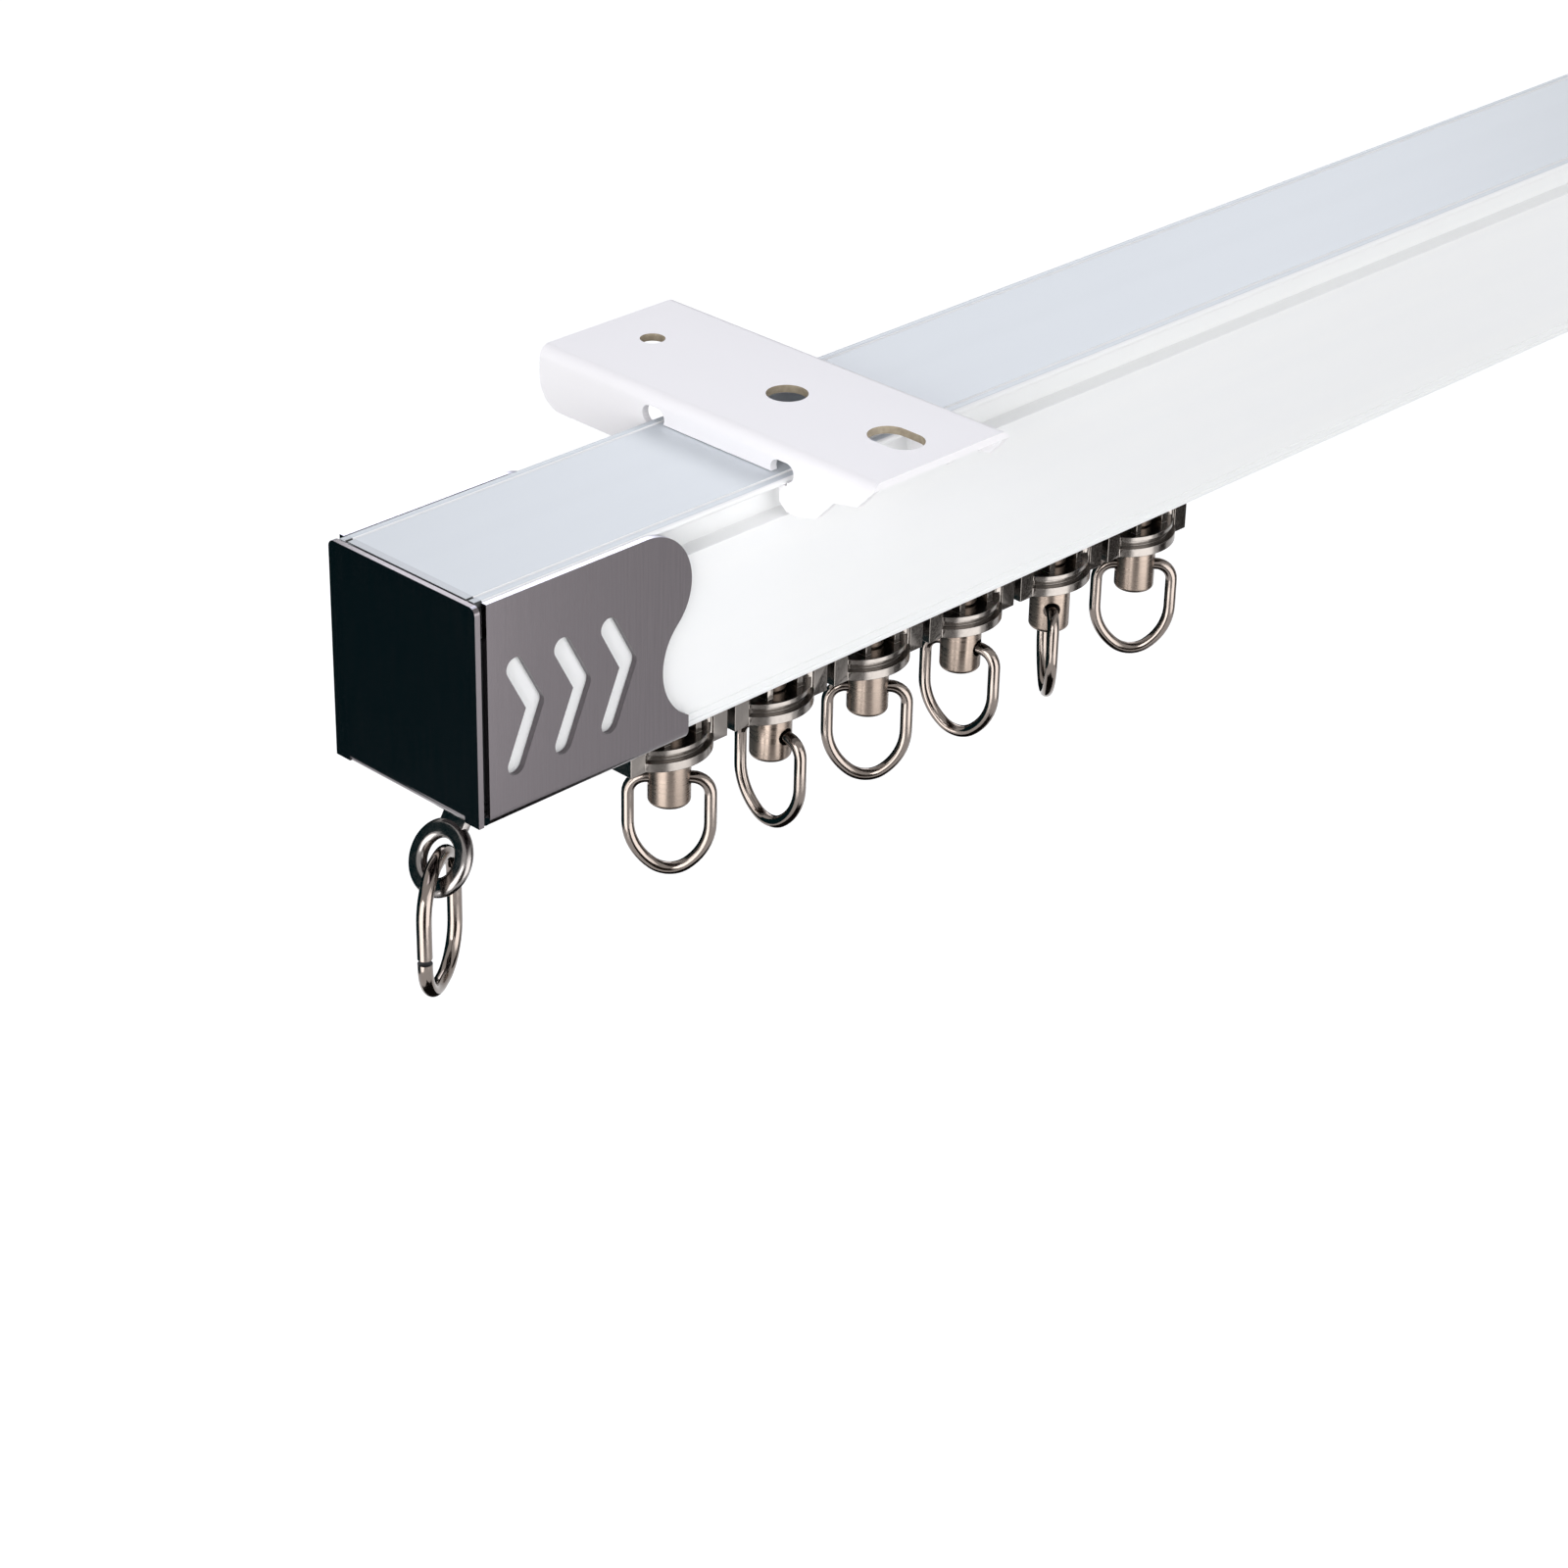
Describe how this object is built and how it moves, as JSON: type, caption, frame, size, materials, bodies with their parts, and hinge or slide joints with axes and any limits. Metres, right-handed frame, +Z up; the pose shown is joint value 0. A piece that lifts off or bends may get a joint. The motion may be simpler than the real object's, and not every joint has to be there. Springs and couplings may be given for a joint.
{
  "type": "curtain track",
  "caption": "Straight ceiling curtain track: slotted rail, folded end caps with hooks and links, hook-on brackets, and wheeled runners with swivelling D rings.",
  "frame": {"origin": "centre of the first bracket's main screw hole, in the ceiling plane", "axes": "+X along the track from the shown end, +Y across it towards the wall, +Z up"},
  "size_m": [0.6042, 0.0744, 0.0781],
  "materials": {
    "rail": "satin white powder coat",
    "cap_steel": "brushed stainless sheet, reflective end plate",
    "screw_steel": "bright zinc plate",
    "hook_steel": "bright zinc plate",
    "bracket": "satin white powder coat",
    "carriage": "nickel-plated zinc casting",
    "axle_steel": "ground steel",
    "wheel_nylon": "off-white nylon",
    "roller_nylon": "milky white nylon",
    "swivel_nickel": "nickel plate, slightly brown",
    "wire_nickel": "polished nickel plate"
  },
  "bodies": {
    "track": {"rail": "rail", "end_cap_left": "cap_steel", "end_cap_right": "cap_steel", "clamp_screws": "screw_steel", "end_hook_left": "hook_steel", "end_hook_right": "hook_steel", "bracket_left": "bracket", "bracket_right": "bracket"},
    "end_link_left": {"end_link_left": "wire_nickel"},
    "end_link_right": {"end_link_right": "wire_nickel"},
    "runner_1": {"runner_1_carriage": "carriage"},
    "wheelset_1": {"runner_1_axle": "axle_steel", "runner_1_wheel_near": "wheel_nylon", "runner_1_wheel_far": "wheel_nylon"},
    "roller_left_1": {"runner_1_roller_left": "roller_nylon"},
    "roller_right_1": {"runner_1_roller_right": "roller_nylon"},
    "swivel_1": {"runner_1_swivel": "swivel_nickel"},
    "ring_1": {"runner_1_ring": "wire_nickel"},
    "runner_2": {"runner_2_carriage": "carriage"},
    "wheelset_2": {"runner_2_axle": "axle_steel", "runner_2_wheel_near": "wheel_nylon", "runner_2_wheel_far": "wheel_nylon"},
    "roller_left_2": {"runner_2_roller_left": "roller_nylon"},
    "roller_right_2": {"runner_2_roller_right": "roller_nylon"},
    "swivel_2": {"runner_2_swivel": "swivel_nickel"},
    "ring_2": {"runner_2_ring": "wire_nickel"},
    "runner_3": {"runner_3_carriage": "carriage"},
    "wheelset_3": {"runner_3_axle": "axle_steel", "runner_3_wheel_near": "wheel_nylon", "runner_3_wheel_far": "wheel_nylon"},
    "roller_left_3": {"runner_3_roller_left": "roller_nylon"},
    "roller_right_3": {"runner_3_roller_right": "roller_nylon"},
    "swivel_3": {"runner_3_swivel": "swivel_nickel"},
    "ring_3": {"runner_3_ring": "wire_nickel"},
    "runner_4": {"runner_4_carriage": "carriage"},
    "wheelset_4": {"runner_4_axle": "axle_steel", "runner_4_wheel_near": "wheel_nylon", "runner_4_wheel_far": "wheel_nylon"},
    "roller_left_4": {"runner_4_roller_left": "roller_nylon"},
    "roller_right_4": {"runner_4_roller_right": "roller_nylon"},
    "swivel_4": {"runner_4_swivel": "swivel_nickel"},
    "ring_4": {"runner_4_ring": "wire_nickel"},
    "runner_5": {"runner_5_carriage": "carriage"},
    "wheelset_5": {"runner_5_axle": "axle_steel", "runner_5_wheel_near": "wheel_nylon", "runner_5_wheel_far": "wheel_nylon"},
    "roller_left_5": {"runner_5_roller_left": "roller_nylon"},
    "roller_right_5": {"runner_5_roller_right": "roller_nylon"},
    "swivel_5": {"runner_5_swivel": "swivel_nickel"},
    "ring_5": {"runner_5_ring": "wire_nickel"},
    "runner_6": {"runner_6_carriage": "carriage"},
    "wheelset_6": {"runner_6_axle": "axle_steel", "runner_6_wheel_near": "wheel_nylon", "runner_6_wheel_far": "wheel_nylon"},
    "roller_left_6": {"runner_6_roller_left": "roller_nylon"},
    "roller_right_6": {"runner_6_roller_right": "roller_nylon"},
    "swivel_6": {"runner_6_swivel": "swivel_nickel"},
    "ring_6": {"runner_6_ring": "wire_nickel"}
  },
  "joints": [
    {"name": "runner_1_slide", "type": "slide", "parent": "track", "child": "runner_1", "axis": [1, 0, 0], "range_m": [0, 0.062]},
    {"name": "wheelset_1_spin", "type": "hinge", "parent": "runner_1", "child": "wheelset_1", "pos_m": [-0.0254, 0, -0.03295], "axis": [0, 1, 0], "continuous": true},
    {"name": "roller_left_1_spin", "type": "hinge", "parent": "runner_1", "child": "roller_left_1", "pos_m": [-0.03315, 0, -0.04335], "axis": [0, 0, 1], "continuous": true},
    {"name": "roller_right_1_spin", "type": "hinge", "parent": "runner_1", "child": "roller_right_1", "pos_m": [-0.01765, 0, -0.04335], "axis": [0, 0, 1], "continuous": true},
    {"name": "swivel_1_turn", "type": "hinge", "parent": "runner_1", "child": "swivel_1", "pos_m": [-0.0254, 0, -0.0551], "axis": [0, 0, 1], "continuous": true},
    {"name": "ring_1_swing", "type": "hinge", "parent": "swivel_1", "child": "ring_1", "pos_m": [-0.0254, 0, -0.0592], "axis": [-0.6947, 0.7193, 0], "range_deg": [-35, 35]},
    {"name": "runner_2_slide", "type": "slide", "parent": "runner_1", "child": "runner_2", "axis": [1, 0, 0], "range_m": [0, 0.062]},
    {"name": "wheelset_2_spin", "type": "hinge", "parent": "runner_2", "child": "wheelset_2", "pos_m": [-0.0023, 0, -0.03295], "axis": [0, 1, 0], "continuous": true},
    {"name": "roller_left_2_spin", "type": "hinge", "parent": "runner_2", "child": "roller_left_2", "pos_m": [-0.01005, 0, -0.04335], "axis": [0, 0, 1], "continuous": true},
    {"name": "roller_right_2_spin", "type": "hinge", "parent": "runner_2", "child": "roller_right_2", "pos_m": [0.00545, 0, -0.04335], "axis": [0, 0, 1], "continuous": true},
    {"name": "swivel_2_turn", "type": "hinge", "parent": "runner_2", "child": "swivel_2", "pos_m": [-0.0023, 0, -0.0551], "axis": [0, 0, 1], "continuous": true},
    {"name": "ring_2_swing", "type": "hinge", "parent": "swivel_2", "child": "ring_2", "pos_m": [-0.0023, 0, -0.0592], "axis": [-0.0349, 0.9994, 0], "range_deg": [-35, 35]},
    {"name": "runner_3_slide", "type": "slide", "parent": "runner_2", "child": "runner_3", "axis": [1, 0, 0], "range_m": [0, 0.062]},
    {"name": "wheelset_3_spin", "type": "hinge", "parent": "runner_3", "child": "wheelset_3", "pos_m": [0.0208, 0, -0.03295], "axis": [0, 1, 0], "continuous": true},
    {"name": "roller_left_3_spin", "type": "hinge", "parent": "runner_3", "child": "roller_left_3", "pos_m": [0.01305, 0, -0.04335], "axis": [0, 0, 1], "continuous": true},
    {"name": "roller_right_3_spin", "type": "hinge", "parent": "runner_3", "child": "roller_right_3", "pos_m": [0.02855, 0, -0.04335], "axis": [0, 0, 1], "continuous": true},
    {"name": "swivel_3_turn", "type": "hinge", "parent": "runner_3", "child": "swivel_3", "pos_m": [0.0208, 0, -0.0551], "axis": [0, 0, 1], "continuous": true},
    {"name": "ring_3_swing", "type": "hinge", "parent": "swivel_3", "child": "ring_3", "pos_m": [0.0208, 0, -0.0592], "axis": [-0.6947, 0.7193, 0], "range_deg": [-35, 35]},
    {"name": "runner_4_slide", "type": "slide", "parent": "runner_3", "child": "runner_4", "axis": [1, 0, 0], "range_m": [0, 0.062]},
    {"name": "wheelset_4_spin", "type": "hinge", "parent": "runner_4", "child": "wheelset_4", "pos_m": [0.0439, 0, -0.03295], "axis": [0, 1, 0], "continuous": true},
    {"name": "roller_left_4_spin", "type": "hinge", "parent": "runner_4", "child": "roller_left_4", "pos_m": [0.03615, 0, -0.04335], "axis": [0, 0, 1], "continuous": true},
    {"name": "roller_right_4_spin", "type": "hinge", "parent": "runner_4", "child": "roller_right_4", "pos_m": [0.05165, 0, -0.04335], "axis": [0, 0, 1], "continuous": true},
    {"name": "swivel_4_turn", "type": "hinge", "parent": "runner_4", "child": "swivel_4", "pos_m": [0.0439, 0, -0.0551], "axis": [0, 0, 1], "continuous": true},
    {"name": "ring_4_swing", "type": "hinge", "parent": "swivel_4", "child": "ring_4", "pos_m": [0.0439, 0, -0.0592], "axis": [-0.2419, 0.9703, 0], "range_deg": [-35, 35]},
    {"name": "runner_5_slide", "type": "slide", "parent": "runner_4", "child": "runner_5", "axis": [1, 0, 0], "range_m": [0, 0.062]},
    {"name": "wheelset_5_spin", "type": "hinge", "parent": "runner_5", "child": "wheelset_5", "pos_m": [0.067, 0, -0.03295], "axis": [0, 1, 0], "continuous": true},
    {"name": "roller_left_5_spin", "type": "hinge", "parent": "runner_5", "child": "roller_left_5", "pos_m": [0.05925, 0, -0.04335], "axis": [0, 0, 1], "continuous": true},
    {"name": "roller_right_5_spin", "type": "hinge", "parent": "runner_5", "child": "roller_right_5", "pos_m": [0.07475, 0, -0.04335], "axis": [0, 0, 1], "continuous": true},
    {"name": "swivel_5_turn", "type": "hinge", "parent": "runner_5", "child": "swivel_5", "pos_m": [0.067, 0, -0.0551], "axis": [0, 0, 1], "continuous": true},
    {"name": "ring_5_swing", "type": "hinge", "parent": "swivel_5", "child": "ring_5", "pos_m": [0.067, 0, -0.0592], "axis": [0.6691, 0.7431, 0], "range_deg": [-35, 35]},
    {"name": "runner_6_slide", "type": "slide", "parent": "runner_5", "child": "runner_6", "axis": [1, 0, 0], "range_m": [0, 0.062]},
    {"name": "wheelset_6_spin", "type": "hinge", "parent": "runner_6", "child": "wheelset_6", "pos_m": [0.0901, 0, -0.03295], "axis": [0, 1, 0], "continuous": true},
    {"name": "roller_left_6_spin", "type": "hinge", "parent": "runner_6", "child": "roller_left_6", "pos_m": [0.08235, 0, -0.04335], "axis": [0, 0, 1], "continuous": true},
    {"name": "roller_right_6_spin", "type": "hinge", "parent": "runner_6", "child": "roller_right_6", "pos_m": [0.09785, 0, -0.04335], "axis": [0, 0, 1], "continuous": true},
    {"name": "swivel_6_turn", "type": "hinge", "parent": "runner_6", "child": "swivel_6", "pos_m": [0.0901, 0, -0.0551], "axis": [0, 0, 1], "continuous": true},
    {"name": "ring_6_swing", "type": "hinge", "parent": "swivel_6", "child": "ring_6", "pos_m": [0.0901, 0, -0.0592], "axis": [-0.6947, 0.7193, 0], "range_deg": [-35, 35]},
    {"name": "end_link_left_swing", "type": "hinge", "parent": "track", "child": "end_link_left", "pos_m": [-0.0743, 0, -0.05535], "axis": [0.848, 0.5299, 0], "range_deg": [-40, 40]},
    {"name": "end_link_right_swing", "type": "hinge", "parent": "track", "child": "end_link_right", "pos_m": [0.5143, 0, -0.05535], "axis": [-0.848, 0.5299, 0], "range_deg": [-40, 40]}
  ]
}
